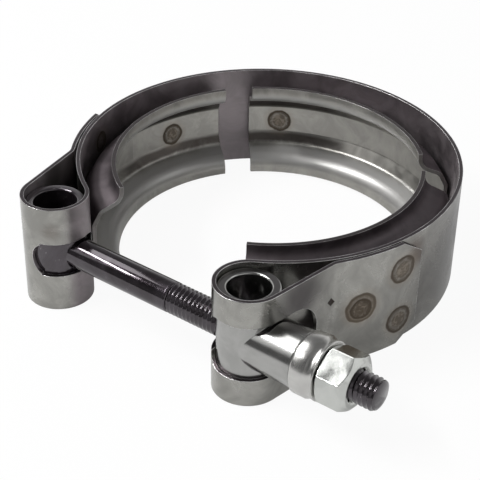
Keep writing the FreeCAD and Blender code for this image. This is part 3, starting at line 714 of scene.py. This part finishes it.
def strap_tarnish_and_shade():
    """Darker places on the outside of the strap: (centre, radius, strength, tint). The grey ones
    are painted shade and painted dark reflection; the brown ones are stains.
    """
    return [
        # Grey patches: painted shade and painted dark reflection.
        (TRUNNION_PIVOT + Vector((9.5, 6.5, 11)) * MM, 12, 0.85, GREY_PAINTED_SHADE),
        (on_ring(12, 51, 0), 34, 0.50, GREY_PAINTED_SHADE),
        (on_ring(26, 51, 9), 20, 0.75, GREY_PAINTED_SHADE),
        (on_ring(46, 51, 2), 20, 0.65, GREY_PAINTED_SHADE),
        (on_ring(-9.5, 52.4, 10.5), 5.5, 0.70, BROWN_TARNISH),
        (HEAD_PIVOT + Vector((5, -7, 8.5)) * MM, 3.5, 0.40, BROWN_TARNISH),
    ]


def finish_pieces(bolt, washer):
    # The strap's inside is a little darker and purpler than its outside: partly heat tint, partly
    # painted shade.
    band = sheet_finish(
        "polished_strap", outside=(0.315, 0.311, 0.292, 1), inside=(0.300, 0.270, 0.280, 1),
        edge_shade=(0.065, 0.055, 0.060, 1), gloss=0.20, inner_gloss=0.48, corner_highlight_strength=1.0,
        welds=eye_welds(52.4) + web_welds(51), rounding=0.32 * MM, tarnish_and_shade=strap_tarnish_and_shade(),
        nicks=[(on_ring(-37.1, 53.0, 4.4), (0.40, 0.917, 0), 1.35)])
    # The retainers' outward faces, against the band, are far darker than their inside: painted
    # shade.
    web = sheet_finish(
        "formed_retainer", outside=(0.140, 0.122, 0.130, 1), inside=(0.350, 0.341, 0.318, 1),
        edge_shade=(0.065, 0.056, 0.058, 1), gloss=0.50, inner_gloss=0.34, corner_highlight_strength=0.6,
        welds=web_welds(48.1), rounding=0.22 * MM, flank_sheen=True,
        film_and_shade=[on_ring(122, 48, 0), on_ring(165, 48, 0)],
        rim=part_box("retainer_back")[1][2] - 0.3 * MM)
    give(PIECES["band"], band)
    for name in ("retainer_nut_side", "retainer_back", "retainer_bolt_side"):
        give(PIECES[name], web)
    # The trunnion's flat tube ends are darkened: painted shade.
    give(PIECES["trunnion"],
         turned_finish("drawn_trunnion", colour=(0.37, 0.37, 0.36), gloss=0.19,
                       axis_stretch=(60.0, 1400.0, 1400.0), rounding=0.2 * MM,
                       end_shade=(0.13, 0.125, 0.125, 1)))
    give(washer,
         turned_finish("turned_washer", colour=(0.52, 0.515, 0.50), gloss=0.22,
                       axis_stretch=(3000.0, 120.0, 120.0), rounding=0.2 * MM, bump=0.12))
    give(PIECES["hex_nut"],
         turned_finish("bright_nut", colour=(0.52, 0.53, 0.51), gloss=0.13,
                       axis_stretch=(160.0, 160.0, 160.0), rounding=0.35 * MM, bump=0.08))
    give(bolt, dark_oxide_finish())


# ---------------------------------------------------------------- studio
def make_floor():
    """Pale floor that keeps a soft shadow."""
    bpy.ops.mesh.primitive_plane_add(size=6, location=(0, 0, cad_box[0][2]))
    floor = bpy.context.active_object
    floor.name = "floor"
    finish = bpy.data.materials.new("pale_floor")
    finish.use_nodes = True
    tree = finish.node_tree
    tree.nodes.clear()
    matt = add_node(tree, "ShaderNodeBsdfDiffuse", {"Color": (0.90, 0.90, 0.90, 1)}).outputs[0]
    white = add_node(tree, "ShaderNodeEmission",
                     {"Color": (1, 1, 1, 1), "Strength": 1.0}).outputs[0]
    path = add_node(tree, "ShaderNodeLightPath").outputs
    share = maths(tree, "MAXIMUM", maths(tree, "MULTIPLY", path["Is Camera Ray"], 0.94),
                  maths(tree, "MULTIPLY", seen_directly(tree), 0.35))
    mixed = add_node(tree, "ShaderNodeMixShader", {0: share, 1: matt, 2: white}).outputs[0]
    add_node(tree, "ShaderNodeOutputMaterial", {"Surface": mixed})
    floor.data.materials.append(finish)


def seen_directly(tree):
    """1 for rays from the camera and for those that gloss or glass sends on."""
    path = add_node(tree, "ShaderNodeLightPath").outputs
    seen = maths(tree, "MAXIMUM", path["Is Camera Ray"], path["Is Glossy Ray"])
    return maths(tree, "MAXIMUM", seen, path["Is Transmission Ray"])


CEILING_LEVEL = 0.22
FRONT_WALL = (-0.35, -0.93, 0.0)


def make_world():
    """Studio with white walls, a darker ceiling and a dark wall in front."""
    world = bpy.data.worlds.new("studio")
    bpy.context.scene.world = world
    world.use_nodes = True
    tree = world.node_tree
    tree.nodes.clear()
    way = add_node(tree, "ShaderNodeTexCoord").outputs["Generated"]
    walls = ramp(tree, height_of(tree, way), 0.30, 0.75, 1.0, CEILING_LEVEL)
    front = vector_maths(tree, "DOT_PRODUCT", way, FRONT_WALL)
    dark_side = maths(tree, "MULTIPLY", ramp(tree, front, 0.25, 0.75), 0.85)
    walls = maths(tree, "MULTIPLY", walls, maths(tree, "SUBTRACT", 1.0, dark_side))
    path = add_node(tree, "ShaderNodeLightPath").outputs
    level = maths(tree, "MAXIMUM", walls, path["Is Camera Ray"])
    share = maths(tree, "ADD", maths(tree, "MULTIPLY", seen_directly(tree), 0.4), 0.6)
    soft = maths(tree, "MULTIPLY", level, share)
    back = add_node(tree, "ShaderNodeBackground", {"Color": (1, 1, 1, 1),
                                                   "Strength": soft}).outputs[0]
    add_node(tree, "ShaderNodeOutputWorld", {"Surface": back})


# Name, direction from the clamp, then distance, width and height in metres, and radiance.
LAMPS = (
    ("key", (-0.48, -0.44, 0.76), 0.75, 0.44, 0.075, 42),
    ("softbox", (-0.45, -0.12, 0.88), 1.1, 0.50, 0.50, 3.6),
    ("panel", (-0.50, -0.66, 0.52), 1.1, 0.36, 0.36, 1.25),
    ("fill", (0.9, 0.5, 0.7), 1.3, 0.60, 0.60, 0.8),
)


def add_lamp(name, direction, distance, width, height, radiance):
    """Soft lamp that faces the clamp. Its radiance is what a mirror would show."""
    lamp = bpy.data.lights.new(name, "AREA")
    lamp.shape = "RECTANGLE"
    lamp.size = width
    lamp.size_y = height
    lamp.energy = radiance * pi * width * height
    holder = bpy.data.objects.new(name, lamp)
    way = Vector(direction).normalized()
    holder.location = way * distance
    holder.rotation_euler = way.to_track_quat("Z", "Y").to_euler()
    bpy.context.collection.objects.link(holder)


# Place in metres, lens in millimetres, and turns in degrees.
CAMERA_PLACE = (0.17935, -0.25183, 0.1929)
CAMERA_LENS = 101.06
CAMERA_DOWN = 33.56
CAMERA_TURN = 36.78
CAMERA_ROLL = 1.08


def make_camera():
    camera = bpy.data.objects.new("camera", bpy.data.cameras.new("camera"))
    bpy.context.collection.objects.link(camera)
    camera.data.lens = CAMERA_LENS
    camera.data.sensor_width = 36
    camera.data.clip_start = 0.01
    camera.location = CAMERA_PLACE
    level = Euler((radians(90 - CAMERA_DOWN), 0, radians(CAMERA_TURN))).to_matrix()
    camera.rotation_euler = (level @ Matrix.Rotation(radians(CAMERA_ROLL), 3, "Z")).to_euler()
    bpy.context.scene.camera = camera


def make_studio():
    make_floor()
    make_world()
    for lamp in LAMPS:
        add_lamp(*lamp)
    make_camera()
    bpy.context.scene.view_settings.view_transform = "Standard"


deselect_all()
finish_pieces(make_bolt(), make_washer())
make_studio()
